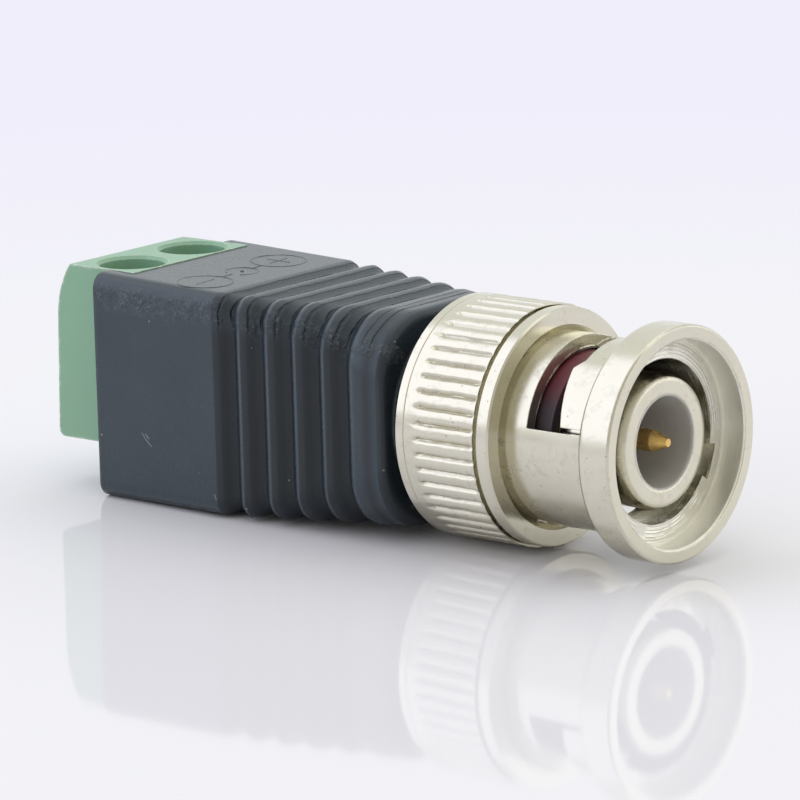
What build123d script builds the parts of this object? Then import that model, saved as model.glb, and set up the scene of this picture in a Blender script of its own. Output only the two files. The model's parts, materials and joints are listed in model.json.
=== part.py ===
from build123d import *
import os
from math import cos, pi, radians, sin

# Coaxial bayonet plug with a two-way screw terminal block, in millimetres.
# X is the plug's axis and points out of the mating face, which is at x = 0. Z is up, towards the
# clamp screws. Lengths along the axis are measured back from the mating face, so places are negative.

# Fits between pieces
running_gap = 0.05
pivot_gap = 0.03
free_gap = 0.3
cut_margin = 1.0

# Bayonet sleeve, whose bore leaves room round the plug's tube for the mating shell
socket_gap = 0.9
sleeve_wall = 0.9
lip_rise = 1.3
lip_wall = 0.92
lip_length = 2.15
lip_chamfer = 0.12
flare_length = 0.9
flare_round = 0.45
sleeve_length = 8.95
sleeve_tail = 2.0
mouth_depth = 1.6
keyway_depth = 0.55
keyway_angle = 23.0
shoulder_length = 1.2

# Cam windows, by angle about the axis from +Y towards +Z
window_start = 168.0
window_sweep = 101.0
window_rear = 7.15
ramp_entry = 4.6
ramp_rise = 0.65
ramp_sweep = 41.0
detent_step = 0.5
detent_sweep = 7.0
slit_length = 1.5
slit_width = 0.34
slit_overrun = 0.6
keyway_overrun = 0.5

# Grip ring
grip_length = 7.1
collar_wall = 1.4
collar_length = 0.85
collar_chamfer = 0.1
line_width = 0.2
line_depth = 0.2
band_rise = 0.15
flute_count = 48
flute_length = 4.55
flute_width = 0.42
flute_floor = 0.14
flute_depth = 0.26
rim_chamfer = 0.15
rim_line_place = 0.68
rim_line_width = 0.09
rim_line_depth = 0.07
cavity_gap = 0.22
grip_mouth_chamfer = 0.35

# Plug body
tube_recess = 1.25
tube_wall = 1.3
tube_face_inset = 0.2
tube_taper_length = 0.6
flange_length = 1.0
spigot_wall = 0.95
spigot_rear = 20.0
back_bore_step = 0.6
back_bore_front = 14.0

# Insulators and centre pin
insulator_front_recess = 6.0
pin_radius = 0.675
pin_tip_radius = 0.25
pin_tip_recess = 1.0
pin_taper_length = 1.0
pin_shank_step = 0.1
pin_step = 10.0
cup_radius = 1.0
cup_wall = 0.55
rear_insulator_wall = 1.2
cup_bore_depth = 1.8
cup_overhang = 1.5

# Gasket and washers
gasket_length = 1.25
gasket_gap = 0.1
gasket_seat_step = 0.25
wave_room = 1.07
wave_height = 1.0
wave_thickness = 0.2
wave_count = 3
thrust_thickness = 0.35

# Rear shell
shell_wall = 1.65
shell_rear = 25.0
anchor_depth = 0.5
anchor_width = 1.2
anchor_setbacks = (4.8, 2.4)

# Moulded housing, with grooves that are deeper on its sides than on its top
housing_wall = 1.6
housing_front_inset = 0.3
housing_edge_round = 1.0
housing_front_round = 4.3
round_growth = 1.5
top_rise = 0.3
groove_pitch = 2.2
side_groove_depth = 0.8
top_groove_depth = 0.35
groove_sharpness = 1.3
groove_count = 5
groove_steps = 6
nose_length = 2.28
nose_round = 0.5
neck_length = 1.15
neck_wall = 0.4
chamber_length = 9.4
top_setback = 2.0
chamber_inset = 0.1
chamber_half_height = 3.2

# Terminal block
block_depth = 6.2
block_bottom = 3.9
block_floor = 0.5
block_overhang = 4.8
block_kink_inset = 0.23
block_kink_height = 3.7
block_top_inset = 1.4
block_cover = 1.5
block_edge_round = 0.5
terminal_pitch = 5.7
screw_overhang = 0.4
well_radius = 2.1
well_wall = 0.45
well_chamfer = 0.2
ledge_top = 3.7
ledge_thickness = 0.8
entry_width = 3.0
entry_height = 2.8
entry_round = 0.4

# Clamp screws, rising cages and contact tongues
screw_head_gap = 0.15
screw_head_height = 1.8
screw_shank_radius = 1.25
screw_slot_width = 0.5
screw_slot_depth = 0.8
cage_length = 4.2
cage_width = 3.8
cage_wall = 0.55
cage_top_wall = 1.1
cage_lift = 1.25
tongue_width = 2.4
tongue_thickness = 0.6
tongue_top = -0.35
tongue_pin_width = 1.0
tongue_pin_length = 2.5

# Leads inside the moulding
lead_radius = 0.45
lead_straight = 2.2
lead_bend = 0.9

# Sizes and places that follow from the values above
pin_shank_radius = cup_radius - pin_shank_step
back_bore_radius = cup_radius + rear_insulator_wall
tube_bore_radius = back_bore_radius + back_bore_step
tube_radius = tube_bore_radius + tube_wall
spigot_radius = tube_bore_radius + spigot_wall
bore_radius = tube_radius + socket_gap
sleeve_radius = bore_radius + sleeve_wall
lip_radius = sleeve_radius + lip_rise
mouth_radius = lip_radius - lip_wall
keyway_radius = bore_radius + keyway_depth
collar_radius = sleeve_radius + collar_wall
band_radius = collar_radius + band_rise
grip_front = -sleeve_length
sleeve_rear = -(sleeve_length + sleeve_tail)
grip_rear = grip_front - grip_length
flute_front = grip_front - collar_length - line_width
shoulder_front = sleeve_rear + shoulder_length
thrust_rear = shoulder_front + pivot_gap
flange_rear = thrust_rear + thrust_thickness + wave_room
flange_front = flange_rear + flange_length
flange_radius = bore_radius - running_gap
gasket_face = flange_front + gasket_length
gasket_radius = bore_radius - gasket_gap
gasket_bore_radius = tube_radius + gasket_seat_step
shoulder_radius = spigot_radius + running_gap
shell_front = sleeve_rear - pivot_gap
shell_radius = spigot_radius + shell_wall
grip_cavity_radius = shell_radius + cavity_gap
anchor_places = [-shell_rear + setback for setback in anchor_setbacks]
neck_front = grip_rear - free_gap
nose_front = neck_front - neck_length
ribbed_rear = nose_front - nose_length - groove_count * groove_pitch
block_front = -shell_rear - chamber_length
housing_rear = block_front - block_depth
screw_line = housing_rear - screw_overhang
neck_radius = shell_radius + neck_wall
chamber_half_width = shell_radius - chamber_inset
block_half_width = terminal_pitch / 2 + well_radius + well_wall
housing_half = block_half_width + housing_wall
block_top = housing_half + top_rise
block_rear = housing_rear - block_overhang
cover_front = housing_rear + top_setback
chamber_top = ledge_top - ledge_thickness
chamber_bottom = -block_bottom + block_floor
cage_bottom = chamber_bottom + running_gap
cage_top = chamber_top - running_gap - cage_lift
entry_middle = cage_bottom + cage_wall + entry_height / 2
pocket_length = cage_length + 2 * running_gap
pocket_width = cage_width + 2 * running_gap
terminal_places = {"a": -terminal_pitch / 2, "b": terminal_pitch / 2}
tongue_middle = tongue_top - tongue_thickness / 2
tongue_end = block_front + tongue_pin_length


def tube_solid(rear, front, outer, inner):
    """A ring about the axis between two stations."""
    with BuildPart() as ring:
        with BuildSketch(Plane.YZ.offset(rear)):
            Circle(outer)
            Circle(inner, mode=Mode.SUBTRACT)
        extrude(amount=front - rear)
    return ring.part


def rod_solid(rear, front, radius):
    """A round bar about the axis between two stations."""
    with BuildPart() as rod:
        with BuildSketch(Plane.YZ.offset(rear)):
            Circle(radius)
        extrude(amount=front - rear)
    return rod.part


def box_solid(x_range, y_range, z_range):
    """A box given by its limits along each axis."""
    size = [limits[1] - limits[0] for limits in (x_range, y_range, z_range)]
    middle = [(limits[0] + limits[1]) / 2 for limits in (x_range, y_range, z_range)]
    return Pos(*middle) * Box(*size)


def turned(build_profile):
    """Revolves a profile, drawn by the function with x along the axis and y as radius, about X."""
    with BuildPart() as piece:
        with BuildSketch(Plane.XY):
            with BuildLine():
                build_profile()
            make_face()
        revolve(axis=Axis.X)
    return piece.part


# Coupling nut: bayonet sleeve and grip ring

def sleeve_profile():
    """Lip, steep flare and straight sleeve, with the mouth, the bore and the rear shoulder."""
    FilletPolyline((sleeve_rear, sleeve_radius), (-lip_length - flare_length, sleeve_radius),
                   (-lip_length, lip_radius), (-lip_chamfer, lip_radius), radius=flare_round)
    Polyline((-lip_chamfer, lip_radius), (0, lip_radius - lip_chamfer), (0, mouth_radius + lip_chamfer),
             (-lip_chamfer, mouth_radius), (-mouth_depth, mouth_radius), (-mouth_depth, bore_radius),
             (shoulder_front, bore_radius), (shoulder_front, shoulder_radius),
             (sleeve_rear, shoulder_radius), (sleeve_rear, sleeve_radius))


def window_section(angle, front):
    """One cross-section of the cam window at an angle, wider than the wall on both sides."""
    with BuildSketch(Plane.XZ) as section:
        with BuildLine():
            inner = bore_radius - cut_margin
            outer = sleeve_radius + cut_margin
            Polyline((-window_rear, inner), (front, inner), (front, outer), (-window_rear, outer),
                     close=True)
        make_face()
    return Rot(angle - 90, 0, 0) * section.sketch.face()


def window_front(turned_by):
    """Where the window's front edge stands after the lug has turned by this angle."""
    lowest = -ramp_entry - ramp_rise
    if turned_by <= ramp_sweep:
        return -ramp_entry - ramp_rise * turned_by / ramp_sweep
    into_detent = min(1.0, (turned_by - ramp_sweep) / detent_sweep)
    return lowest + detent_step * into_detent


def cam_window():
    """The helical slot that a lug climbs, with its rest at the end, as a cutting solid."""
    ramp = [ramp_sweep * step / 5 for step in range(6)]
    rest = ramp_sweep + detent_sweep
    rest_steps = [rest + (window_sweep - rest) * step / 6 for step in range(7)]
    sections = [window_section(window_start - turn, window_front(turn)) for turn in ramp + rest_steps]
    return loft(sections, ruled=True)


def keyway():
    """The straight way from the mouth to the cam window, as a cutting solid."""
    way = tube_solid(-ramp_entry - keyway_overrun, cut_margin, keyway_radius, bore_radius - cut_margin)
    wedge_angle = window_start - keyway_angle
    with BuildPart() as wedge:
        with BuildSketch(Plane.YZ.offset(-window_rear)):
            with BuildLine():
                reach = 3 * sleeve_radius
                first = (reach * cos(radians(wedge_angle)), reach * sin(radians(wedge_angle)))
                last = (reach * cos(radians(window_start)), reach * sin(radians(window_start)))
                Polyline((0, 0), first, last, close=True)
            make_face()
        extrude(amount=window_rear + cut_margin)
    return way & wedge.part


def keyway_slit():
    """The narrow slit where the keyway's side breaks out beside the window."""
    front = -ramp_entry + slit_length
    slit = box_solid((-ramp_entry - slit_overrun, front), (bore_radius, sleeve_radius + cut_margin),
                     (-slit_width, 0))
    return Rot(window_start, 0, 0) * slit


def bayonet_sleeve():
    sleeve = turned(sleeve_profile)
    for half_turn in (0, 180):
        for cut in (cam_window(), keyway(), keyway_slit()):
            sleeve -= Rot(half_turn, 0, 0) * cut
    return sleeve


def grip_profile():
    """Collar, turned line, band with a fine line near its rim, the sleeve's seat and the rear cavity."""
    line_front = grip_front - collar_length
    line_radius = collar_radius - line_depth
    rim_line_rear = grip_rear + rim_line_place
    rim_line_radius = band_radius - rim_line_depth
    seat_front = grip_front - grip_mouth_chamfer
    Polyline((grip_rear, grip_cavity_radius), (grip_rear, band_radius - rim_chamfer),
             (grip_rear + rim_chamfer, band_radius), (rim_line_rear, band_radius),
             (rim_line_rear + rim_line_width / 2, rim_line_radius),
             (rim_line_rear + rim_line_width, band_radius),
             (flute_front, band_radius), (flute_front, line_radius), (line_front, line_radius),
             (line_front, collar_radius), (grip_front - collar_chamfer, collar_radius),
             (grip_front, collar_radius - collar_chamfer), (grip_front, sleeve_radius + grip_mouth_chamfer),
             (seat_front, sleeve_radius), (sleeve_rear, sleeve_radius), (sleeve_rear, grip_cavity_radius),
             (grip_rear, grip_cavity_radius))


def flute():
    """One groove of the grip with sloping sides, at the top of the ring, as a cutting solid."""
    floor = band_radius - flute_depth
    slope = (flute_width - flute_floor) / 2 / flute_depth
    top_half = flute_width / 2 + slope * cut_margin
    with BuildPart() as groove:
        with BuildSketch(Plane.YZ.offset(flute_front - flute_length)):
            with BuildLine():
                Polyline((-flute_floor / 2, floor), (flute_floor / 2, floor),
                         (top_half, band_radius + cut_margin), (-top_half, band_radius + cut_margin),
                         close=True)
            make_face()
        extrude(amount=flute_length + line_width / 2)
    return groove.part


def grip_ring():
    groove = flute()
    grooves = [Rot(360 / flute_count * index, 0, 0) * groove for index in range(flute_count)]
    return turned(grip_profile).cut(*grooves)


# Plug body, washers and contacts

def plug_body_profile():
    tube_face = -tube_recess
    Polyline((-spigot_rear, back_bore_radius), (-spigot_rear, spigot_radius), (flange_rear, spigot_radius),
             (flange_rear, flange_radius), (flange_front, flange_radius), (flange_front, gasket_bore_radius),
             (gasket_face, gasket_bore_radius), (gasket_face, tube_radius),
             (tube_face - tube_taper_length, tube_radius), (tube_face, tube_radius - tube_face_inset),
             (tube_face, tube_bore_radius), (-back_bore_front, tube_bore_radius),
             (-back_bore_front, back_bore_radius), (-spigot_rear, back_bore_radius))


def rear_shell():
    shell = tube_solid(-shell_rear, shell_front, shell_radius, spigot_radius)
    groove_floor = shell_radius - anchor_depth
    for place in anchor_places:
        shell -= tube_solid(place - anchor_width, place, shell_radius + cut_margin, groove_floor)
    return shell


def insulator_front():
    whole = rod_solid(-back_bore_front, -insulator_front_recess, tube_bore_radius)
    whole -= rod_solid(-pin_step, 0, pin_shank_radius)
    return whole - rod_solid(-back_bore_front - cut_margin, -pin_step, cup_radius)


def insulator_rear():
    return tube_solid(-spigot_rear, -back_bore_front, back_bore_radius, cup_radius)


def centre_pin_profile():
    """Tapered tip, thin contact, shank in the insulator and thicker rear with the solder cup's bore."""
    tip = -pin_tip_recess
    cup_rear = -spigot_rear - cup_overhang
    cup_floor = cup_rear + cup_bore_depth
    cup_bore_radius = cup_radius - cup_wall
    Polyline((cup_floor, 0), (cup_floor, cup_bore_radius), (cup_rear, cup_bore_radius),
             (cup_rear, cup_radius), (-pin_step, cup_radius), (-pin_step, pin_shank_radius),
             (-insulator_front_recess, pin_shank_radius), (-insulator_front_recess, pin_radius),
             (tip - pin_taper_length, pin_radius), (tip, pin_tip_radius), (tip, 0), (cup_floor, 0))


def gasket():
    return tube_solid(flange_front, gasket_face, gasket_radius, gasket_bore_radius)


def wave_washer():
    """A thin ring bent up and down round the axis, between the flange and the thrust washer."""
    room = flange_rear - (thrust_rear + thrust_thickness)
    swing = (min(wave_height, room) - wave_thickness) / 2
    middle = flange_rear - room / 2
    inner = shoulder_radius
    outer = bore_radius - 3 * running_gap
    steps = 12 * wave_count

    def section(index):
        angle = 360 * index / steps
        along = middle + swing * cos(radians(wave_count * angle))
        with BuildSketch(Plane.XZ) as face:
            with Locations((along, (inner + outer) / 2)):
                Rectangle(wave_thickness, outer - inner)
        return Rot(angle - 90, 0, 0) * face.sketch.face()

    quarters = []
    for start in range(0, steps, steps // 4):
        indices = range(start, start + steps // 4 + 1)
        quarters.append(loft([section(index) for index in indices], ruled=True))
    return quarters[0].fuse(*quarters[1:])


def thrust_washer():
    return tube_solid(thrust_rear, thrust_rear + thrust_thickness, flange_radius, shoulder_radius)


# Moulded housing

def square_section(station, half_width, half_height, corner):
    """A rectangle with round corners across the axis."""
    with BuildSketch(Plane.YZ.offset(station)) as section:
        RectangleRounded(2 * half_width, 2 * half_height, corner)
    return section.sketch.face()


def taper_at(station):
    """Half width and corner round of the moulding's outside at a station of its ribbed length."""
    share = (station - ribbed_rear) / (nose_front - ribbed_rear)
    corner = housing_edge_round + (housing_front_round - housing_edge_round) * share ** round_growth
    return housing_half - housing_front_inset * share, corner


def groove_share(turn):
    """How far the outside lies towards a groove's floor, for a share of a turn of the ribs' wave."""
    return (0.5 - 0.5 * cos(2 * pi * turn)) ** groove_sharpness


def ribbed_part():
    """Wavy length between the square rear and the nose: it turns rounder towards the front."""
    sections = []
    for step in range(groove_count * groove_steps + 1):
        turn = step / groove_steps
        half, corner = taper_at(ribbed_rear + turn * groove_pitch)
        inset = groove_share(turn)
        sections.append(square_section(ribbed_rear + turn * groove_pitch, half - side_groove_depth * inset,
                                       half - top_groove_depth * inset, corner))
    for angle in (0, 30, 60, 90):
        station = nose_front - nose_round * (1 - sin(radians(angle)))
        half, corner = taper_at(station)
        half -= nose_round * (1 - cos(radians(angle)))
        sections.append(square_section(station, half, half, corner))
    return loft(sections, ruled=True)


def rear_part():
    """Square rear block, whose top rises towards the terminal block."""
    with BuildSketch(Plane.YZ.offset(housing_rear)) as rear:
        with Locations((0, top_rise / 2)):
            RectangleRounded(2 * housing_half, 2 * housing_half + top_rise, housing_edge_round)
    front = square_section(ribbed_rear, housing_half, housing_half, housing_edge_round)
    return loft([rear.sketch.face(), front], ruled=True)


def housing():
    solid = rear_part() + ribbed_part() + rod_solid(nose_front - cut_margin, neck_front, neck_radius)
    rear_open = housing_rear - cut_margin
    across = (-block_half_width, block_half_width)
    solid -= box_solid((rear_open, block_front), across, (-block_bottom, housing_half - block_cover))
    solid -= box_solid((rear_open, cover_front), across, (0, block_top + cut_margin))
    solid -= box_solid((block_front - cut_margin, -shell_rear), (-chamber_half_width, chamber_half_width),
                       (-chamber_half_height, chamber_half_height))
    solid -= rod_solid(-shell_rear - cut_margin, neck_front + cut_margin, shell_radius)
    for place in anchor_places:
        solid += tube_solid(place - anchor_width, place, shell_radius + neck_wall / 2,
                            shell_radius - anchor_depth)
    return solid


# Terminal block

def block_profile():
    """Side outline of the terminal block, with its curved upper rear face and its step under the cover."""
    kink = (block_rear + block_kink_inset, block_kink_height)
    low_top = housing_half - block_cover
    RadiusArc((block_rear + block_edge_round, -block_bottom), (block_rear, -block_bottom + block_edge_round),
              block_edge_round)
    Line((block_rear, -block_bottom + block_edge_round), kink)
    TangentArc(kink, (block_rear + block_top_inset, block_top), tangent=(0, 1))
    Polyline((block_rear + block_top_inset, block_top), (cover_front, block_top), (cover_front, low_top),
             (block_front, low_top), (block_front, -block_bottom),
             (block_rear + block_edge_round, -block_bottom))


def terminal_openings(place):
    """Screw well, shank hole, cage chamber, wire entry and tongue slot of one terminal, for cutting."""
    well_depth = block_top - ledge_top
    well_rim_radius = well_radius + well_chamfer
    shank_hole_radius = screw_shank_radius + running_gap
    cut = Pos(0, 0, block_top - well_depth / 2) * Cylinder(well_radius, well_depth)
    cut += Pos(0, 0, block_top - well_chamfer / 2) * Cone(well_radius, well_rim_radius, well_chamfer)
    cut += Pos(0, 0, ledge_top - ledge_thickness / 2) * Cylinder(shank_hole_radius, ledge_thickness)
    cut = Pos(screw_line, place, 0) * cut
    cut += box_solid((screw_line - pocket_length / 2, screw_line + pocket_length / 2),
                     (place - pocket_width / 2, place + pocket_width / 2), (chamber_bottom, chamber_top))
    entry_start = block_rear - cut_margin
    with BuildPart() as entry:
        with BuildSketch(Plane.YZ.offset(entry_start)):
            with Locations((place, entry_middle)):
                RectangleRounded(entry_width, entry_height, entry_round)
        extrude(amount=screw_line - entry_start)
    return cut + entry.part + contact_tongue(place)


def terminal_block():
    with BuildPart() as block:
        with BuildSketch(Plane.XZ.offset(-block_half_width)):
            with BuildLine():
                block_profile()
            make_face()
        extrude(amount=2 * block_half_width)
    solid = block.part
    for place in terminal_places.values():
        solid -= terminal_openings(place)
    return solid


def clamp_screw(place):
    """Cheese-head screw that turns on the block's ledge, with a plain shank for its thread."""
    head_bottom = ledge_top + pivot_gap
    shank_tip = tongue_top + pivot_gap
    screw_head_radius = well_radius - screw_head_gap
    head = Pos(0, 0, head_bottom + screw_head_height / 2) * Cylinder(screw_head_radius, screw_head_height)
    slot_middle = head_bottom + screw_head_height - screw_slot_depth / 2
    head -= Pos(0, 0, slot_middle) * Box(3 * screw_head_radius, screw_slot_width, screw_slot_depth)
    shank_length = head_bottom - shank_tip
    shank = Pos(0, 0, shank_tip + shank_length / 2) * Cylinder(screw_shank_radius, shank_length)
    return Pos(screw_line, place, 0) * (head + shank)


def clamp_cage(place):
    """Box cage whose threaded top rides on the screw, open at both ends for the wire and the tongue."""
    rear = screw_line - cage_length / 2
    front = screw_line + cage_length / 2
    inner_half = cage_width / 2 - cage_wall
    outer_half = cage_width / 2
    cage = box_solid((rear, front), (place - outer_half, place + outer_half), (cage_bottom, cage_top))
    cage -= box_solid((rear - cut_margin, front + cut_margin), (place - inner_half, place + inner_half),
                      (cage_bottom + cage_wall, cage_top - cage_top_wall))
    hole = Cylinder(screw_shank_radius + running_gap, 2 * cage_top_wall)
    return cage - Pos(screw_line, place, cage_top - cage_top_wall / 2) * hole


def contact_tongue(place):
    """Flat strip through the cage, narrowed to a solder pin in front of the block."""
    z_range = (tongue_top - tongue_thickness, tongue_top)
    rear = screw_line - cage_length / 2 + running_gap
    strip = box_solid((rear, block_front), (place - tongue_width / 2, place + tongue_width / 2), z_range)
    pin_range = (place - tongue_pin_width / 2, place + tongue_pin_width / 2)
    return strip + box_solid((block_front, tongue_end), pin_range, z_range)


# Leads

def lead(points):
    """A round lead along straight runs joined by arcs."""
    path = FilletPolyline(*points, radius=lead_bend)
    with BuildPart() as wire:
        with BuildSketch(Plane(origin=path @ 0, z_dir=path % 0)):
            Circle(lead_radius)
        sweep(path=path)
    return wire.part


def centre_lead():
    cup_floor = -spigot_rear - cup_overhang + cup_bore_depth
    place = terminal_places["a"]
    return lead([(cup_floor, 0, 0), (-shell_rear, 0, 0),
                 (tongue_end + lead_straight, place, tongue_middle), (tongue_end, place, tongue_middle)])


def shell_lead():
    place = terminal_places["b"]
    solder_radius = (shell_radius + spigot_radius) / 2
    return lead([(-shell_rear, solder_radius, 0), (-shell_rear - lead_straight, solder_radius, 0),
                 (tongue_end + lead_straight, place, tongue_middle), (tongue_end, place, tongue_middle)])


def main():
    os.makedirs("parts", exist_ok=True)
    pieces = {
        "moulded_housing": housing(),
        "terminal_block": terminal_block(),
        "plug_body": turned(plug_body_profile),
        "rear_shell": rear_shell(),
        "insulator_front": insulator_front(),
        "insulator_rear": insulator_rear(),
        "centre_pin": turned(centre_pin_profile),
        "gasket": gasket(),
        "wave_washer": wave_washer(),
        "thrust_washer": thrust_washer(),
        "bayonet_sleeve": bayonet_sleeve(),
        "grip_ring": grip_ring(),
        "centre_lead": centre_lead(),
        "shell_lead": shell_lead(),
    }
    for name, place in terminal_places.items():
        pieces["clamp_screw_" + name] = clamp_screw(place)
        pieces["clamp_cage_" + name] = clamp_cage(place)
        pieces["contact_tongue_" + name] = contact_tongue(place)
    for name, piece in pieces.items():
        export_step(piece, os.path.join("parts", name + ".step"))


main()
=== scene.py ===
import json
from math import atan2, cos, pi, radians, sin

import bpy
from mathutils import Matrix, Vector, noise

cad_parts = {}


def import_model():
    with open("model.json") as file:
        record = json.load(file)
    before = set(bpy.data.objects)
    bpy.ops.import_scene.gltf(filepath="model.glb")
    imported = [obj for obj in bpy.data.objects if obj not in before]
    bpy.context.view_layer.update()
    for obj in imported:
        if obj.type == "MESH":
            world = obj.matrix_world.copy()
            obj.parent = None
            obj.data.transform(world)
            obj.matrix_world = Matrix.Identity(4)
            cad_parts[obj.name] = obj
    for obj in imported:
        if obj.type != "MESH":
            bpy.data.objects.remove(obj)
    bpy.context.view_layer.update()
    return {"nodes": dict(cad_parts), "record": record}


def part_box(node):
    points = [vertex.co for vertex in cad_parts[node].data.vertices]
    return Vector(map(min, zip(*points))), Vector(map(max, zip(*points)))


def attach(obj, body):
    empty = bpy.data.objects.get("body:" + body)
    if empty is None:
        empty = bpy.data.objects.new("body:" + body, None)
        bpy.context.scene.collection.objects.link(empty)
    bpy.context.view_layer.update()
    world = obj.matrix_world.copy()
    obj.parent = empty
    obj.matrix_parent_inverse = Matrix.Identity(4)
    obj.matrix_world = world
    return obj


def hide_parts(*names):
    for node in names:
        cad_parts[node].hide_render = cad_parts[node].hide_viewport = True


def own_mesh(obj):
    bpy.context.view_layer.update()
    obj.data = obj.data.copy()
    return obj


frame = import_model()

MM = 0.001

# Camera, as the photograph was taken, in the part's own frame
CAMERA_TARGET = Vector((-21.218, -0.601, 0.342)) * MM
CAMERA_AZIMUTH = 40.044
CAMERA_ELEVATION = 12.216
CAMERA_ROLL = -1.6
CAMERA_DISTANCE = 382.6 * MM
CAMERA_LENS = 280.5

# Studio: the pale background, and the dimmer, warmer room on the mating face's side
BACKGROUND = (0.871, 0.855, 0.965)
ROOM = (0.66, 0.65, 0.59)
ROOM_SIDE = (0.92, -0.38, 0.08)
ROOM_FADE = (-0.2, 0.8)
BACK_WALL = (0.96, 0.985, 0.99)

# Lamps: direction from the part, size in metres, power in watts and colour
LAMP_DISTANCE = 0.45
LAMPS = {
    "key": ((-0.63, -0.50, 0.55), (0.60, 0.50), 0.56, (0.95, 0.97, 1.32)),
    "top": ((0.1, 0.25, 1.0), (0.50, 0.50), 0.42, (1, 1, 1)),
    "fill": ((0.66, 0.72, 0.16), (0.50, 0.26), 0.42, (1, 1, 1)),
}

# Table: half its width in metres, and the distances in millimetres between which it turns plain
FLOOR_COLOUR = (0.788, 0.775, 0.805)
FLOOR_GLOSS = 0.155
FLOOR_ROUGHNESS = 0.05
FLOOR_HALF = 1.6
FLOOR_LIT = (60, 150)

# Finishes, as linear colours: the first two of a material are its darkest and its lightest plain tone
MOULDING = ((0.017, 0.030, 0.040), (0.030, 0.047, 0.062))
# painted shade for the rib valleys, the rib flanks turned from the key lamp and the top creases
MOULDING_PAINTED_SHADE = (0.003, 0.003, 0.006)
MOULDING_CRUMBS = (0.115, 0.125, 0.135)
MOULDING_DUST = (0.35, 0.36, 0.37)
BLOCK = ((0.200, 0.375, 0.245), (0.245, 0.430, 0.290))
BLOCK_RIM = (0.62, 0.74, 0.63)
BLOCK_BURR = (0.80, 0.85, 0.80)
NICKEL = ((0.61, 0.580, 0.465), (0.70, 0.672, 0.562))
NICKEL_STAIN = (0.40, 0.36, 0.29)
NICKEL_PIT = (0.26, 0.23, 0.18)
# painted shade in the grip's rolled valleys
GRIP_VALLEY_SHADE = (0.22, 0.20, 0.16)
# painted light on the nut's mouth: its wall and the bored step inside it are lightened
MOUTH_WALL_PAINTED_LIGHT = (0.86, 0.845, 0.765)
MOUTH_STEP_PAINTED_LIGHT = (0.72, 0.70, 0.63)
# painted light in the tube's bore, lightened
TUBE_BORE_PAINTED_LIGHT = (0.68, 0.67, 0.64)
# painted shade in the sleeve's chamber behind the mouth
SLEEVE_CHAMBER_SHADE = (0.035, 0.025, 0.028)
RING_DIRT = (0.34, 0.31, 0.26)
GOLD = ((0.62, 0.40, 0.13), (0.78, 0.54, 0.20))
STEEL = ((0.42, 0.42, 0.41), (0.56, 0.56, 0.54))
TINNED = ((0.50, 0.50, 0.48), (0.62, 0.62, 0.60))
# insulator tones darkened as painted shade for the recessed bore
INSULATOR_SHADED = ((0.29, 0.28, 0.26), (0.35, 0.34, 0.32))
GASKET = ((0.085, 0.008, 0.016), (0.15, 0.014, 0.026))
# painted shade on the gasket below its top
GASKET_LOWER_SHADE = (0.030, 0.018, 0.026)
SCRATCH = ((0.16, 0.18, 0.19), (0.42, 0.44, 0.45))

# Worn skin of the moulding, in millimetres: places beside its upper edges, and heights of the worn skin and
# of the top's creases, which carry painted shade
EDGE_STRIP = (0.3, 1.8)
EDGE_HEIGHTS = (2.6, 4.2)
CREASE_HEIGHTS = (4.4, 5.4)

# Ribs of the moulding, with the valley of painted shade and the two creases, also painted dark as shade, as
# shares of the pitch
RIBS_REAR = -30.78
RIB_PITCH = 2.2
RIB_SHADED_VALLEY = (0.30, 0.62)
RIB_CREASES = ((0.49, 0.53), (0.21, 0.23))

# Polarity sign on the moulding's top, in millimetres
SYMBOL_MIDDLE = (-33.8, -0.6)
SYMBOL_TURN = -4.0
SYMBOL_SPAN = 3.8
SYMBOL_RING = 1.75
SYMBOL_MIDDLE_RING = 1.05
SYMBOL_LINE = 0.18
SYMBOL_SUNK = 0.065
SYMBOL_WAVER = 0.022
DOT_RADIUS = 0.05
DOT_LINE = 0.24

# Scratches and dust on the housing's side, as strokes of x and z in millimetres
MARK_THICKNESS = 0.05
MARKS = [
    [(-36.90, -2.42), (-36.50, -2.89), (-36.10, -3.22)],
    [(-36.62, -2.45), (-36.30, -2.75)],
    [(-31.02, -5.60), (-30.88, -5.95)],
    [(-31.82, -0.15), (-31.78, -0.20)],
    [(-32.27, -4.38), (-32.23, -4.43)],
    [(-40.30, -2.86), (-40.27, -2.95)],
]

# Burrs on the sleeve, as x and angle at both ends, number of steps, and spread along x in millimetres
SLEEVE_RADIUS = 5.9
BURR_THICKNESS = 0.09
BURR_SUNK = 0.02
BURR_RISE = 0.10
BURRS = [
    (((-5.22, 86.0), (-5.22, 104.0)), 14, 0.12),
    (((-8.70, -119.0), (-7.20, -111.0)), 16, 0.30),
]

# Where finishes, painted light and painted shade change in the nut and the tube: places along the axis and
# radii, in millimetres
MOUTH_FLOOR = -1.75
MOUTH_RADII = (4.4, 6.35)
MOUTH_STEP = (6.0, 6.15)
MOUTH_POLISHED = (5.9, 6.2)
BORE_RADII = (4.4, 5.2)
CHAMBER_SHADE_SPAN = (-9.6, -5.2)
CHAMBER_SHADE_RADIUS = 5.1
TUBE_BORE_RADIUS = 2.9
TUBE_FACE = -2.4
TUBE_RADIUS = 4.4
RING_PITCH = 0.21

# Rolled grip of the coupling nut, in millimetres
LAND_COUNT = 48
LAND_STEPS = 16
LAND_PILLOW = 0.09
LAND_VALLEY = 0.14
LAND_WANDER = 0.05
LAND_DENTS = 0.02
GRIP_BAND = 7.45
GRIP_ROLLED = (-14.75, -10.0)
GRIP_SHADED = (-14.7, -10.0)
GRIP_PRESSED = (7.22, 7.40)
GRIP_FADE = (0.5, 0.35)
GRIP_FRONT_KEEP = 0.25
GRIP_STEPS = 30

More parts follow.
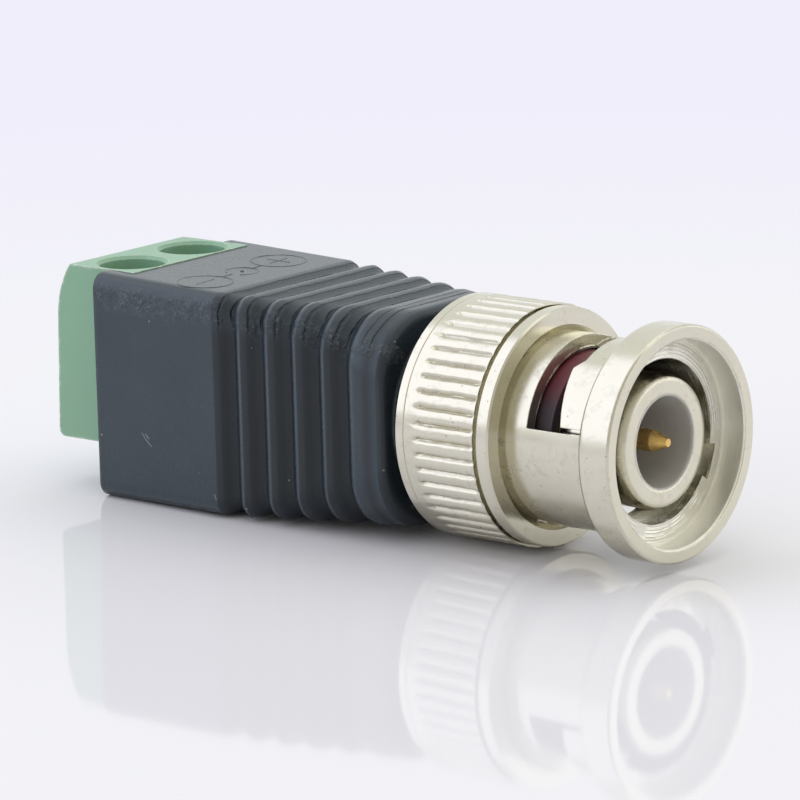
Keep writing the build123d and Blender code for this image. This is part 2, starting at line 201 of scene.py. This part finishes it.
# Outline of the grip ring as places along the axis and radii: behind the rolling, and before it and inside
GRIP_REAR = [(-16.05, 7.30), (-15.90, 7.45), (-15.37, 7.45), (-15.325, 7.38), (-15.28, 7.45)]
GRIP_REST = [(-10.0, 7.10), (-9.80, 7.10), (-9.80, 7.30), (-9.05, 7.30), (-8.95, 7.20), (-8.95, 6.25),
             (-9.30, 5.90), (-10.95, 5.90), (-10.95, 5.62), (-16.05, 5.62)]

# Wave washer behind the plug's flange, in millimetres
WAVE_RADII = (4.85, 3.80)
WAVE_THICKNESS = 0.2
WAVE_ROUND = 0.04
WAVE_COUNT = 3
WAVE_STEPS = 144


def place(x, y, z):
    """A point given in millimetres of the part's frame."""
    return Vector((x, y, z)) * MM


def metres(pair):
    """Two values given in millimetres."""
    return [value * MM for value in pair]


def on_circle(x, radius, angle):
    """A point round the axis, given in millimetres and radians from +Y towards +Z."""
    return place(x, radius * cos(angle), radius * sin(angle))


def linked(name, data):
    """A new object of the scene."""
    item = bpy.data.objects.new(name, data)
    bpy.context.scene.collection.objects.link(item)
    return item


# Node building

class Shader:
    """A material's nodes, with short ways to add and join them."""

    def __init__(self, name):
        self.material = bpy.data.materials.new(name)
        self.material.use_nodes = True
        self.tree = self.material.node_tree
        self.tree.nodes.clear()
        self.output = self.add("ShaderNodeOutputMaterial")

    def add(self, kind, **settings):
        node = self.tree.nodes.new(kind)
        for key, value in settings.items():
            setattr(node, key, value)
        return node

    def join(self, source, target):
        self.tree.links.new(source, target)

    def feed(self, socket, value):
        """Joins an output to a socket, or sets the socket's own value."""
        if isinstance(value, bpy.types.NodeSocket):
            self.join(value, socket)
        else:
            socket.default_value = value

    def math(self, operation, first, second=0.0, third=0.0):
        node = self.add("ShaderNodeMath", operation=operation)
        for socket, value in zip(node.inputs, (first, second, third)):
            self.feed(socket, value)
        return node.outputs[0]

    def coordinates(self):
        """The place on the part, in metres."""
        return self.add("ShaderNodeTexCoord").outputs["Object"]

    def parts_of(self, vector):
        """The x, y and z of a vector."""
        node = self.add("ShaderNodeSeparateXYZ")
        self.join(vector, node.inputs[0])
        return node.outputs[0], node.outputs[1], node.outputs[2]

    def noise(self, vector, grain_mm, detail=4.0, roughness=0.6, stretch=(1, 1, 1)):
        """Noise whose features are about grain_mm across."""
        mapping = self.add("ShaderNodeMapping")
        mapping.inputs["Scale"].default_value = [share / (grain_mm * MM) for share in stretch]
        self.join(vector, mapping.inputs["Vector"])
        node = self.add("ShaderNodeTexNoise")
        node.inputs["Scale"].default_value = 1.0
        node.inputs["Detail"].default_value = detail
        node.inputs["Roughness"].default_value = roughness
        self.join(mapping.outputs[0], node.inputs["Vector"])
        return node.outputs["Fac"]

    def specks(self, vector, spacing_mm, size):
        """Small separate dots, 1 inside and 0 outside."""
        mapping = self.add("ShaderNodeMapping")
        mapping.inputs["Scale"].default_value = [1 / (spacing_mm * MM)] * 3
        self.join(vector, mapping.inputs["Vector"])
        node = self.add("ShaderNodeTexVoronoi")
        node.inputs["Scale"].default_value = 1.0
        self.join(mapping.outputs[0], node.inputs["Vector"])
        return self.math("LESS_THAN", node.outputs["Distance"], size)

    def ramp(self, value, low, high, start=0.0, end=1.0):
        """A straight change from start to end as value goes from low to high."""
        node = self.add("ShaderNodeMapRange")
        for socket, number in zip(node.inputs[:5], (value, low, high, start, end)):
            self.feed(socket, number)
        return node.outputs[0]

    def band(self, value, low, high, soft):
        """1 where value lies between low and high, with soft edges."""
        rise = self.ramp(value, low - soft, low + soft)
        fall = self.ramp(value, high - soft, high + soft, 1.0, 0.0)
        return self.math("MULTIPLY", rise, fall)

    def times(self, first, *others):
        """The product of several values."""
        for other in others:
            first = self.math("MULTIPLY", first, other)
        return first

    def mix(self, share, first, second):
        """A colour between two, by share."""
        node = self.add("ShaderNodeMix", data_type="RGBA")
        self.feed(node.inputs[0], share)
        self.feed(node.inputs[6], (*first, 1) if isinstance(first, tuple) else first)
        self.feed(node.inputs[7], (*second, 1) if isinstance(second, tuple) else second)
        return node.outputs[2]

    def bump(self, height, depth_mm, strength=1.0, normal=None):
        """A normal that follows a height, on top of another normal."""
        node = self.add("ShaderNodeBump")
        node.inputs["Strength"].default_value = strength
        node.inputs["Distance"].default_value = depth_mm * MM
        self.join(height, node.inputs["Height"])
        if normal is not None:
            self.join(normal, node.inputs["Normal"])
        return node.outputs[0]

    def eased(self, radius_mm):
        """A normal that runs softly over edges and facets, as a worn or moulded edge does."""
        node = self.add("ShaderNodeBevel", samples=6)
        node.inputs["Radius"].default_value = radius_mm * MM
        return node.outputs[0]

    def edges(self, radius_mm, low=0.02, high=0.25):
        """1 along sharp edges and 0 on the faces between them."""
        true = self.add("ShaderNodeNewGeometry").outputs["Normal"]
        node = self.add("ShaderNodeVectorMath", operation="DOT_PRODUCT")
        self.join(self.eased(radius_mm), node.inputs[0])
        self.join(true, node.inputs[1])
        return self.ramp(self.math("SUBTRACT", 1.0, node.outputs["Value"]), low, high)

    def finish(self, colour, roughness, metallic=0.0, normal=None, **more):
        """The material, with its surface set from these values."""
        body = self.add("ShaderNodeBsdfPrincipled")
        self.feed(body.inputs["Base Color"], (*colour, 1) if isinstance(colour, tuple) else colour)
        self.feed(body.inputs["Roughness"], roughness)
        body.inputs["Metallic"].default_value = metallic
        for key, value in more.items():
            body.inputs[key.replace("_", " ")].default_value = value
        if normal is not None:
            self.join(normal, body.inputs["Normal"])
        self.join(body.outputs[0], self.output.inputs[0])
        return self.material


# Materials

def moulding_material():
    """Soft black moulding: satin, faintly mottled, with crumbs along its upper edges and groove creases, and
    painted shade in the rib valleys, on the rib flanks turned from the key lamp and along the creases.
    """
    shader = Shader("moulding")
    where = shader.coordinates()
    x, y, z = shader.parts_of(where)
    mottle = shader.noise(where, 3.2, detail=3.0)
    grain = shader.noise(where, 0.22, detail=5.0, roughness=0.7)
    crumbs = shader.noise(where, 0.30, detail=2.0, roughness=0.8, stretch=(1.0, 1.0, 1.5))
    breakup = shader.ramp(shader.noise(where, 1.7, detail=2.0), 0.36, 0.60)
    dust = shader.specks(where, 1.9, 0.035)

    # Upper edges, where the skin is crumbly
    outward = shader.math("SUBTRACT", shader.math("ABSOLUTE", y), z)
    edge = shader.band(outward, *metres(EDGE_STRIP), 0.3 * MM)
    upper = shader.ramp(z, *metres(EDGE_HEIGHTS))
    worn = shader.times(edge, upper, shader.math("MULTIPLY", breakup, 0.9))

    # Ribs, with painted shade in their grooves and on the flanks facing +X, away from the key lamp, and thin
    # creases on their tops, bumped and painted dark as shade
    ribbed = shader.math("GREATER_THAN", x, RIBS_REAR * MM)
    drift = shader.math("MULTIPLY_ADD", shader.noise(where, 2.4, detail=3.0), 0.24, -0.12)
    along = shader.math("DIVIDE", shader.math("SUBTRACT", x, RIBS_REAR * MM), RIB_PITCH * MM)
    turn = shader.math("FRACT", along)
    wavy = shader.math("FRACT", shader.math("ADD", along, drift))
    valley = shader.math("MULTIPLY", shader.band(turn, *RIB_SHADED_VALLEY, 0.14), ribbed)
    facing = shader.parts_of(shader.add("ShaderNodeNewGeometry").outputs["Normal"])[0]
    flank = shader.math("MULTIPLY", shader.ramp(facing, 0.10, 0.42), ribbed)
    painted_rib_shade = shader.math("MAXIMUM", valley, flank)
    on_top = shader.math("MULTIPLY", shader.ramp(z, *metres(CREASE_HEIGHTS)), ribbed)
    deep, faint = RIB_CREASES
    lines = shader.math("MAXIMUM", shader.band(wavy, *deep, 0.035), shader.band(wavy, *faint, 0.03))
    crease = shader.math("MULTIPLY", lines, on_top)

    base = shader.mix(mottle, *MOULDING)
    painted_rib_shade = shader.math("MULTIPLY", painted_rib_shade, shader.math("MULTIPLY_ADD", on_top, -0.45, 0.62))
    shade = shader.math("MAXIMUM", painted_rib_shade, crease)
    # painted shade: the ribs' valleys, their flanks away from the key lamp and the top creases are darkened
    shaded = shader.mix(shade, base, MOULDING_PAINTED_SHADE)
    pale = shader.math("MULTIPLY", worn, shader.ramp(crumbs, 0.50, 0.72))
    scuffed = shader.mix(pale, shaded, MOULDING_CRUMBS)
    colour = shader.mix(shader.math("MULTIPLY", dust, 0.5), scuffed, MOULDING_DUST)
    roughness = shader.ramp(grain, 0.3, 0.7, 0.19, 0.31)
    roughness = shader.math("MULTIPLY_ADD", worn, 0.15, roughness)
    roughness = shader.math("MULTIPLY_ADD", shade, 0.35, roughness)
    fine = shader.bump(grain, 0.010, 0.5, normal=shader.eased(0.35))
    crumbly = shader.bump(shader.math("MULTIPLY", crumbs, worn), 0.20, 1.0, normal=fine)
    normal = shader.bump(shader.math("SUBTRACT", 1.0, crease), 0.16, 1.0, normal=crumbly)
    return shader.finish(colour, roughness, normal=normal)


def block_material():
    """Pale green polyamide with a soft sheen, faint flow marks, and paler rims with crumbs on them."""
    shader = Shader("block")
    where = shader.coordinates()
    flow = shader.noise(where, 4.5, detail=2.0, stretch=(1.0, 1.0, 0.3))
    grain = shader.noise(where, 0.18, detail=4.0)
    colour = shader.mix(flow, *BLOCK)
    rim = shader.edges(0.25)
    colour = shader.mix(shader.math("MULTIPLY", rim, 0.55), colour, BLOCK_RIM)
    burr = shader.math("MULTIPLY", shader.edges(0.5), shader.ramp(shader.noise(where, 0.25), 0.53, 0.60))
    colour = shader.mix(shader.math("MULTIPLY", burr, 0.7), colour, BLOCK_BURR)
    roughness = shader.ramp(grain, 0.3, 0.7, 0.28, 0.42)
    normal = shader.bump(grain, 0.006, 0.5)
    return shader.finish(colour, roughness, normal=normal, Subsurface_Weight=0.08, Subsurface_Scale=0.0006)


def turning_marks(shader, x, radius, pitch_mm):
    """Fine rings left by a lathe: they depend only on the place along the axis and on the radius."""
    joined = shader.add("ShaderNodeCombineXYZ")
    shader.join(x, joined.inputs[0])
    shader.join(radius, joined.inputs[1])
    return shader.noise(joined.outputs[0], pitch_mm, detail=3.0, roughness=0.7)


def axis_radius(shader, y, z):
    """Distance from the plug's axis."""
    squares = shader.math("ADD", shader.math("MULTIPLY", y, y), shader.math("MULTIPLY", z, z))
    return shader.math("SQRT", squares)


class Nickel(Shader):
    """Bright nickel plate over turned brass, slightly warm, with cloudy gloss, stains and pits."""

    def __init__(self, name):
        super().__init__(name)
        self.where = self.coordinates()
        self.x, y, z = self.parts_of(self.where)
        self.radius = axis_radius(self, y, z)
        self.cloud = self.noise(self.where, 1.8, detail=4.0)
        self.grain = self.noise(self.where, 0.12, detail=4.0, roughness=0.75)
        stain = self.ramp(self.noise(self.where, 0.9, detail=5.0, roughness=0.7), 0.52, 0.72)
        pits = self.specks(self.where, 0.9, 0.075)
        colour = self.mix(self.cloud, *NICKEL)
        colour = self.mix(self.math("MULTIPLY", stain, 0.30), colour, NICKEL_STAIN)
        self.colour = self.mix(self.math("MULTIPLY", pits, 0.5), colour, NICKEL_PIT)
        self.smooth = self.math("MULTIPLY_ADD", stain, 0.12, self.ramp(self.cloud, 0.3, 0.7, 0.14, 0.24))

    def tint(self, share, colour):
        """Lays another colour over the plate, by share."""
        self.colour = self.mix(share, self.colour, colour)

    def plated(self, roughness, normal):
        """The material, with the fine rings of the lathe over everything."""
        rings = turning_marks(self, self.x, self.radius, 0.09)
        normal = self.bump(rings, 0.003, 0.5, normal=normal)
        return self.finish(self.colour, roughness, metallic=1.0, normal=normal)


def grip_material():
    """Nickel of the grip ring, with painted shade in the rolled valleys and coarser skin between them."""
    shader = Nickel("nickel_grip")
    rolled = shader.band(shader.x, *metres(GRIP_SHADED), 0.1 * MM)
    pressed = shader.ramp(shader.radius, *metres(GRIP_PRESSED), 1.0, 0.0)
    # painted shade, deepest in the rolled valleys
    shader.tint(shader.times(rolled, pressed, 0.3), GRIP_VALLEY_SHADE)
    coarse = shader.noise(shader.where, 0.3, detail=3.0)
    skin = shader.math("ADD", shader.grain, coarse)
    height = shader.math("MULTIPLY", skin, shader.math("MULTIPLY_ADD", rolled, 0.8, 0.2))
    return shader.plated(shader.smooth, shader.bump(height, 0.008, 0.9))


def nickel_material():
    """Nickel of the sleeve and the plug: mouth lightened with painted light, matt tube bore lightened with
    painted light, chamber behind the mouth darkened with painted shade, and scored bores.
    """
    shader = Nickel("nickel")
    x, radius = shader.x, shader.radius
    sharp = 0.02 * MM

    # Mouth: painted light on its wall and on the bored step inside it, and on the tube's bore
    in_mouth = shader.times(shader.math("GREATER_THAN", x, MOUTH_FLOOR * MM),
                            shader.band(radius, *metres(MOUTH_RADII), sharp))
    shader.tint(in_mouth, MOUTH_WALL_PAINTED_LIGHT)
    tube_bore = shader.math("LESS_THAN", radius, TUBE_BORE_RADIUS * MM)
    shader.tint(tube_bore, TUBE_BORE_PAINTED_LIGHT)
    inner = shader.times(in_mouth, shader.ramp(radius, *metres(MOUTH_STEP), 1.0, 0.0))
    shader.tint(inner, MOUTH_STEP_PAINTED_LIGHT)
    wall = shader.math("SUBTRACT", in_mouth, inner)

    # Chamber behind the mouth, darkened with painted shade
    chamber_shade = shader.times(shader.band(x, *metres(CHAMBER_SHADE_SPAN), 0.1 * MM),
                           shader.math("LESS_THAN", radius, CHAMBER_SHADE_RADIUS * MM))
    shader.tint(shader.math("MULTIPLY", chamber_shade, 0.85), SLEEVE_CHAMBER_SHADE)
    roughness = shader.math("MULTIPLY_ADD", wall, 0.3, shader.smooth)
    roughness = shader.math("MULTIPLY_ADD", tube_bore, 0.6, roughness)

    # Edges, rounder at the tube's end, with ragged burrs
    tube_end = shader.times(shader.math("GREATER_THAN", x, TUBE_FACE * MM),
                            shader.math("LESS_THAN", radius, TUBE_RADIUS * MM))
    rounded = shader.mix(tube_end, shader.eased(0.08), shader.eased(0.42))
    fine = shader.bump(shader.grain, 0.003, 0.6, normal=rounded)
    ragged = shader.ramp(shader.noise(shader.where, 0.22), 0.52, 0.60)
    fine = shader.bump(shader.times(shader.edges(0.12), ragged), 0.04, 1.0, normal=fine)

    # Scores left by the boring tool
    bored = shader.math("MAXIMUM", in_mouth, shader.band(radius, *metres(BORE_RADII), sharp))
    feed = shader.math("DIVIDE", shader.math("ADD", radius, x), RING_PITCH * MM)
    uneven = shader.math("MULTIPLY", turning_marks(shader, x, radius, 0.26), 2.0)
    steps = shader.math("PINGPONG", shader.math("ADD", feed, uneven), 0.5)
    polished = shader.ramp(radius, *metres(MOUTH_POLISHED), 1.0, 0.35)
    scored = shader.times(steps, bored, shader.ramp(shader.cloud, 0.35, 0.6), polished)
    shader.tint(shader.math("MULTIPLY", scored, 0.4), RING_DIRT)
    return shader.plated(roughness, shader.bump(scored, 0.06, 1.0, normal=fine))


def plain_metal(name, tones, smooth, dull):
    """A plated metal with cloudy gloss and fine turned rings."""
    shader = Shader(name)
    where = shader.coordinates()
    x, y, z = shader.parts_of(where)
    rings = turning_marks(shader, x, axis_radius(shader, y, z), 0.07)
    cloud = shader.noise(where, 0.8, detail=3.0)
    colour = shader.mix(cloud, *tones)
    roughness = shader.ramp(cloud, 0.3, 0.7, smooth, dull)
    normal = shader.bump(rings, 0.002, 0.5)
    return shader.finish(colour, roughness, metallic=1.0, normal=normal)


def insulator_material():
    """Milky fluoropolymer, slightly yellowed, in tones darkened as painted shade for its recessed place,
    with faint saw rings.
    """
    shader = Shader("insulator")
    where = shader.coordinates()
    x, y, z = shader.parts_of(where)
    rings = turning_marks(shader, x, axis_radius(shader, y, z), 0.16)
    # tones darkened as painted shade
    colour = shader.mix(rings, *INSULATOR_SHADED)
    normal = shader.bump(rings, 0.006, 0.5)
    return shader.finish(colour, 0.42, normal=normal, Subsurface_Weight=0.1, Subsurface_Scale=0.0005)


def gasket_material():
    """Dark red silicone, slightly dusty, with painted shade below its top."""
    shader = Shader("gasket")
    where = shader.coordinates()
    dusty = shader.noise(where, 0.5, detail=4.0)
    height = shader.parts_of(where)[2]
    clean = shader.mix(dusty, *GASKET)
    # painted shade, darker below the gasket's top
    lower_shade = shader.ramp(shader.math("MULTIPLY_ADD", dusty, -1.2 * MM, height), 1.6 * MM, 3.4 * MM, 1.0, 0.0)
    colour = shader.mix(lower_shade, clean, GASKET_LOWER_SHADE)
    normal = shader.bump(dusty, 0.01, 0.5)
    return shader.finish(colour, shader.ramp(dusty, 0.3, 0.7, 0.40, 0.60), normal=normal)


def dress_nodes(materials):
    """Gives each CAD node the material of its slot."""
    slot_of = {part["node"]: part["material_slot"] for part in frame["record"]["subparts"]}
    for name, node in frame["nodes"].items():
        node.data.materials.clear()
        node.data.materials.append(materials[slot_of[name]])


# Rings that take the place of CAD nodes: the rolled grip and the wave washer

def soft_step(value, low, high):
    """0 below low, 1 above high, and a smooth change between them."""
    share = min(max((value - low) / (high - low), 0.0), 1.0)
    return share * share * (3 - 2 * share)


def grip_sections():
    """Places along the axis, radii and the rolling's share there, from the rear rim round to the cavity."""
    rear, front = GRIP_ROLLED
    rear_fade, front_fade = GRIP_FADE
    rolled = []
    for step in range(GRIP_STEPS + 1):
        x = rear + (front - rear) * step / GRIP_STEPS
        rise = soft_step(x, rear, rear + rear_fade)
        fall = 1 - (1 - GRIP_FRONT_KEEP) * soft_step(x, front - front_fade, front)
        rolled.append((x, GRIP_BAND, rise * fall))
    return [(*corner, 0) for corner in GRIP_REAR] + rolled + [(*corner, 0) for corner in GRIP_REST]


def rolled_depth(turn, x):
    """Depth below the band of the pillow-shaped lands and of the soft valleys between them."""
    wander = LAND_WANDER * noise.noise(Vector((x * 1.3, turn * 0.7, 3.1)))
    side = abs(2 * ((turn + wander) % 1) - 1)
    pillow = LAND_PILLOW * side ** 2
    valley = LAND_VALLEY * soft_step(side, 0.55, 0.98)
    dents = LAND_DENTS * max(noise.noise(Vector((x * 4.0, turn * 2.5, 7.7))), 0)
    return pillow + valley + dents


def ring_piece(name, rows, material, body, node):
    """A closed ring from rows of points round the axis, in the place of a CAD node."""
    count = len(rows[0])
    faces = []
    for row in range(len(rows)):
        here, after = row * count, (row + 1) % len(rows) * count
        for index in range(count):
            beside = (index + 1) % count
            faces.append((here + index, here + beside, after + beside, after + index))
    mesh = bpy.data.meshes.new(name)
    mesh.from_pydata([point for row in rows for point in row], [], faces)
    mesh.validate()
    mesh.shade_smooth()
    mesh.set_sharp_from_angle(angle=radians(32))
    mesh.materials.append(material)
    piece = linked(name, mesh)
    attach(piece, body)
    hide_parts(node)
    return piece


def rolled_grip(material):
    """The grip ring with its rolled lands, which the CAD ring has as plain flutes."""
    count = LAND_COUNT * LAND_STEPS
    rows = []
    for x, radius, rolled in grip_sections():
        row = []
        for index in range(count):
            depth = rolled * rolled_depth(index / LAND_STEPS, x) if rolled else 0
            row.append(on_circle(x, radius - depth, 2 * pi * index / count))
        rows.append(row)
    ring_piece("rolled_grip", rows, material, "coupling_nut", "grip_ring")


def wave_spring(material):
    """The wave washer, which on the real plug the nut presses flat against the flange; here its waves keep
    the height of the CAD washer's box.
    """
    low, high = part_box("wave_washer")
    half = WAVE_THICKNESS / 2
    swing = (high.x - low.x) / MM / 2 - half
    middle = (high.x + low.x) / MM / 2
    outer, inner = WAVE_RADII
    profile = [(-half, outer - WAVE_ROUND), (WAVE_ROUND - half, outer), (half - WAVE_ROUND, outer),
               (half, outer - WAVE_ROUND), (half, inner + WAVE_ROUND), (half - WAVE_ROUND, inner),
               (WAVE_ROUND - half, inner), (-half, inner + WAVE_ROUND)]
    angles = [2 * pi * index / WAVE_STEPS for index in range(WAVE_STEPS)]
    waves = [middle + swing * cos(WAVE_COUNT * angle) for angle in angles]
    rows = [[on_circle(wave + along, radius, angle) for wave, angle in zip(waves, angles)]
            for along, radius in profile]
    piece = ring_piece("wave_spring", rows, material, "adapter_body", "wave_washer")
    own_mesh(piece)


# Small pieces on the housing

def line_piece(name, points, closed, thickness_mm, material, body="adapter_body"):
    """A thin raised line through points."""
    curve = bpy.data.curves.new(name, "CURVE")
    curve.dimensions = "3D"
    curve.bevel_depth = thickness_mm * MM / 2
    curve.bevel_resolution = 2
    spline = curve.splines.new("POLY")
    spline.points.add(len(points) - 1)
    for point, where in zip(spline.points, points):
        point.co = (*where, 1)
    spline.use_cyclic_u = closed
    curve.materials.append(material)
    piece = linked(name, curve)
    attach(piece, body)


def top_height(x):
    """Height of the housing's sloping top at a place along the axis, in millimetres."""
    low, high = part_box("moulded_housing")
    share = (RIBS_REAR - x) / (RIBS_REAR - low.x / MM)
    level = -low.z / MM
    return level + (high.z / MM - level) * share


def on_top(along, across):
    """A point on the housing's top, given in millimetres from the symbol's middle."""
    turn = radians(SYMBOL_TURN)
    x = SYMBOL_MIDDLE[0] + along * cos(turn) + across * sin(turn)
    y = SYMBOL_MIDDLE[1] + across * cos(turn) - along * sin(turn)
    sunk = SYMBOL_SUNK + SYMBOL_WAVER * noise.noise(Vector((x * 0.9, y * 0.9, 5.3)))
    return place(x, y, top_height(x) - sunk)


def arc(across, radius, start=0, sweep=360, steps=48):
    """Points round a ring whose middle stands at a place across the symbol."""
    count = steps if sweep == 360 else steps + 1
    angles = [radians(start + sweep * step / steps) for step in range(count)]
    return [on_top(radius * cos(angle), across + radius * sin(angle)) for angle in angles]


def polarity_symbol(material):
    """Ring, open ring with a dot, ring, joined by short lines: which screw is the centre contact."""
    sign_half = 0.5 * SYMBOL_RING
    for index, side in enumerate((-1, 1)):
        across = side * SYMBOL_SPAN
        line_piece(f"symbol_ring_{index}", arc(across, SYMBOL_RING), True, SYMBOL_LINE, material)
        link = [on_top(0, across - side * SYMBOL_RING), on_top(0, side * SYMBOL_MIDDLE_RING)]
        line_piece(f"symbol_link_{index}", link, False, SYMBOL_LINE, material)
        bar = [on_top(0, across - sign_half), on_top(0, across + sign_half)]
        line_piece(f"symbol_bar_{index}", bar, False, SYMBOL_LINE, material)
    upright = [on_top(-sign_half, SYMBOL_SPAN), on_top(sign_half, SYMBOL_SPAN)]
    line_piece("symbol_upright", upright, False, SYMBOL_LINE, material)
    line_piece("symbol_open_ring", arc(0, SYMBOL_MIDDLE_RING, -60, 300), False, SYMBOL_LINE, material)
    line_piece("symbol_dot", arc(0, DOT_RADIUS, steps=12), True, DOT_LINE, material)


def mark_material():
    """Whitened plastic of scratches and clinging dust."""
    shader = Shader("marks")
    where = shader.coordinates()
    colour = shader.mix(shader.noise(where, 0.15), *SCRATCH)
    return shader.finish(colour, 0.7)


def small_marks(material):
    """Scratches and dust on the housing's flat side, as lengths across x and z in millimetres."""
    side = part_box("moulded_housing")[0].y / MM
    for index, stroke in enumerate(MARKS):
        points = [place(x, side, z) for x, z in stroke]
        line_piece(f"mark_{index}", points, False, MARK_THICKNESS, material)


def burrs(material):
    """Ragged plated burrs left by the cutter at the windows' ends."""
    for index, (ends, count, spread) in enumerate(BURRS):
        (x_first, turn_first), (x_last, turn_last) = ends
        points = []
        for step in range(count + 1):
            share = step / count
            stray = noise.noise(Vector((step * 1.7, index * 3.3, 0.5)))
            rise = noise.noise(Vector((step * 2.3, index * 5.1, 9.5)))
            angle = radians(turn_first + (turn_last - turn_first) * share)
            x = x_first + (x_last - x_first) * share + spread * stray
            points.append(on_circle(x, SLEEVE_RADIUS - BURR_SUNK + BURR_RISE * rise, angle))
        line_piece(f"burr_{index}", points, False, BURR_THICKNESS, material, "coupling_nut")


# Studio

def floor_material():
    """Pale glossy table: lit near the part, where it keeps shadow and mirror image, plain further off."""
    shader = Shader("floor")
    where = shader.coordinates()
    distance = shader.add("ShaderNodeVectorMath", operation="LENGTH")
    shader.join(where, distance.inputs[0])
    away = shader.ramp(distance.outputs["Value"], *metres(FLOOR_LIT))
    path = shader.add("ShaderNodeLightPath")
    seen = shader.math("MAXIMUM", path.outputs["Is Camera Ray"], path.outputs["Is Glossy Ray"])
    diffuse = shader.add("ShaderNodeBsdfDiffuse")
    diffuse.inputs["Color"].default_value = (*FLOOR_COLOUR, 1)
    gloss = shader.add("ShaderNodeBsdfGlossy")
    gloss.inputs["Roughness"].default_value = FLOOR_ROUGHNESS
    gloss.inputs["Color"].default_value = (1, 1, 1, 1)
    plain = shader.add("ShaderNodeEmission")
    plain.inputs["Color"].default_value = (*BACKGROUND, 1)
    lit = shader.add("ShaderNodeMixShader")
    lit.inputs[0].default_value = FLOOR_GLOSS
    shader.join(diffuse.outputs[0], lit.inputs[1])
    shader.join(gloss.outputs[0], lit.inputs[2])
    whole = shader.add("ShaderNodeMixShader")
    shader.join(shader.math("MULTIPLY", away, seen), whole.inputs[0])
    shader.join(lit.outputs[0], whole.inputs[1])
    shader.join(plain.outputs[0], whole.inputs[2])
    shader.join(whole.outputs[0], shader.output.inputs[0])
    return shader.material


def floor():
    """A large plane that touches the housing's rear bottom edge and the grip ring."""
    rear_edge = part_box("moulded_housing")[0]
    ring_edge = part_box("grip_ring")[0]
    tip = atan2(rear_edge.z - ring_edge.z, ring_edge.x - rear_edge.x)
    mesh = bpy.data.meshes.new("floor")
    corners = [(-FLOOR_HALF, -FLOOR_HALF, 0), (FLOOR_HALF, -FLOOR_HALF, 0), (FLOOR_HALF, FLOOR_HALF, 0),
               (-FLOOR_HALF, FLOOR_HALF, 0)]
    mesh.from_pydata(corners, [], [(0, 1, 2, 3)])
    mesh.materials.append(floor_material())
    plane = linked("floor", mesh)
    middle = Vector((ring_edge.x, 0, ring_edge.z))
    plane.matrix_world = Matrix.Translation(middle) @ Matrix.Rotation(tip, 4, "Y")


def lights():
    """Square studio lamps that look at the part."""
    for name, (direction, size, power, colour) in LAMPS.items():
        lamp = bpy.data.lights.new(name, "AREA")
        lamp.shape = "RECTANGLE"
        lamp.size, lamp.size_y = size
        lamp.energy = power
        lamp.color = colour
        item = linked(name, lamp)
        item.location = CAMERA_TARGET + Vector(direction).normalized() * LAMP_DISTANCE
        item.rotation_euler = (CAMERA_TARGET - item.location).to_track_quat("-Z", "Y").to_euler()


def world():
    """Studio light, dimmer on the room's side, with the plain background for what looks straight at it."""
    studio = bpy.data.worlds.new("studio")
    studio.use_nodes = True
    bpy.context.scene.world = studio
    tree = studio.node_tree
    tree.nodes.clear()
    output = tree.nodes.new("ShaderNodeOutputWorld")
    direction = tree.nodes.new("ShaderNodeTexCoord")
    towards_room = tree.nodes.new("ShaderNodeVectorMath")
    towards_room.operation = "DOT_PRODUCT"
    towards_room.inputs[1].default_value = ROOM_SIDE
    share = tree.nodes.new("ShaderNodeMapRange")
    share.inputs["From Min"].default_value, share.inputs["From Max"].default_value = ROOM_FADE
    blend = tree.nodes.new("ShaderNodeMix")
    blend.data_type = "RGBA"
    blend.inputs[6].default_value = (*BACK_WALL, 1)
    blend.inputs[7].default_value = (*ROOM, 1)
    around = tree.nodes.new("ShaderNodeBackground")
    shown = tree.nodes.new("ShaderNodeBackground")
    shown.inputs["Color"].default_value = (*BACKGROUND, 1)
    path = tree.nodes.new("ShaderNodeLightPath")
    choice = tree.nodes.new("ShaderNodeMixShader")
    tree.links.new(direction.outputs["Generated"], towards_room.inputs[0])
    tree.links.new(towards_room.outputs["Value"], share.inputs["Value"])
    tree.links.new(share.outputs[0], blend.inputs[0])
    tree.links.new(blend.outputs[2], around.inputs["Color"])
    tree.links.new(path.outputs["Is Camera Ray"], choice.inputs[0])
    tree.links.new(around.outputs[0], choice.inputs[1])
    tree.links.new(shown.outputs[0], choice.inputs[2])
    tree.links.new(choice.outputs[0], output.inputs[0])


def camera():
    """The photograph's camera."""
    data = bpy.data.cameras.new("camera")
    data.lens = CAMERA_LENS
    data.sensor_width = 36.0
    data.clip_start = 0.01
    item = linked("camera", data)
    azimuth, elevation = radians(CAMERA_AZIMUTH), radians(CAMERA_ELEVATION)
    back = Vector((sin(azimuth) * cos(elevation), -cos(azimuth) * cos(elevation), sin(elevation)))
    right = Vector((0, 0, 1)).cross(back).normalized()
    up = back.cross(right)
    roll = radians(CAMERA_ROLL)
    turned_right = right * cos(roll) + up * sin(roll)
    turned_up = up * cos(roll) - right * sin(roll)
    basis = Matrix((turned_right, turned_up, back)).transposed()
    item.matrix_world = Matrix.Translation(CAMERA_TARGET + back * CAMERA_DISTANCE) @ basis.to_4x4()
    bpy.context.scene.camera = item


def main():
    materials = {
        "moulding": moulding_material(),
        "block": block_material(),
        "nickel": nickel_material(),
        "grip": grip_material(),
        "insulator": insulator_material(),
        "gold": plain_metal("gold", GOLD, 0.20, 0.32),
        "gasket": gasket_material(),
        "steel": plain_metal("steel", STEEL, 0.28, 0.42),
        "tinned": plain_metal("tinned", TINNED, 0.30, 0.45),
    }
    dress_nodes(materials)
    rolled_grip(materials["grip"])
    wave_spring(materials["steel"])
    polarity_symbol(materials["moulding"])
    small_marks(mark_material())
    burrs(materials["nickel"])
    camera()
    floor()
    lights()
    world()
    bpy.context.scene.view_settings.view_transform = "Standard"


main()
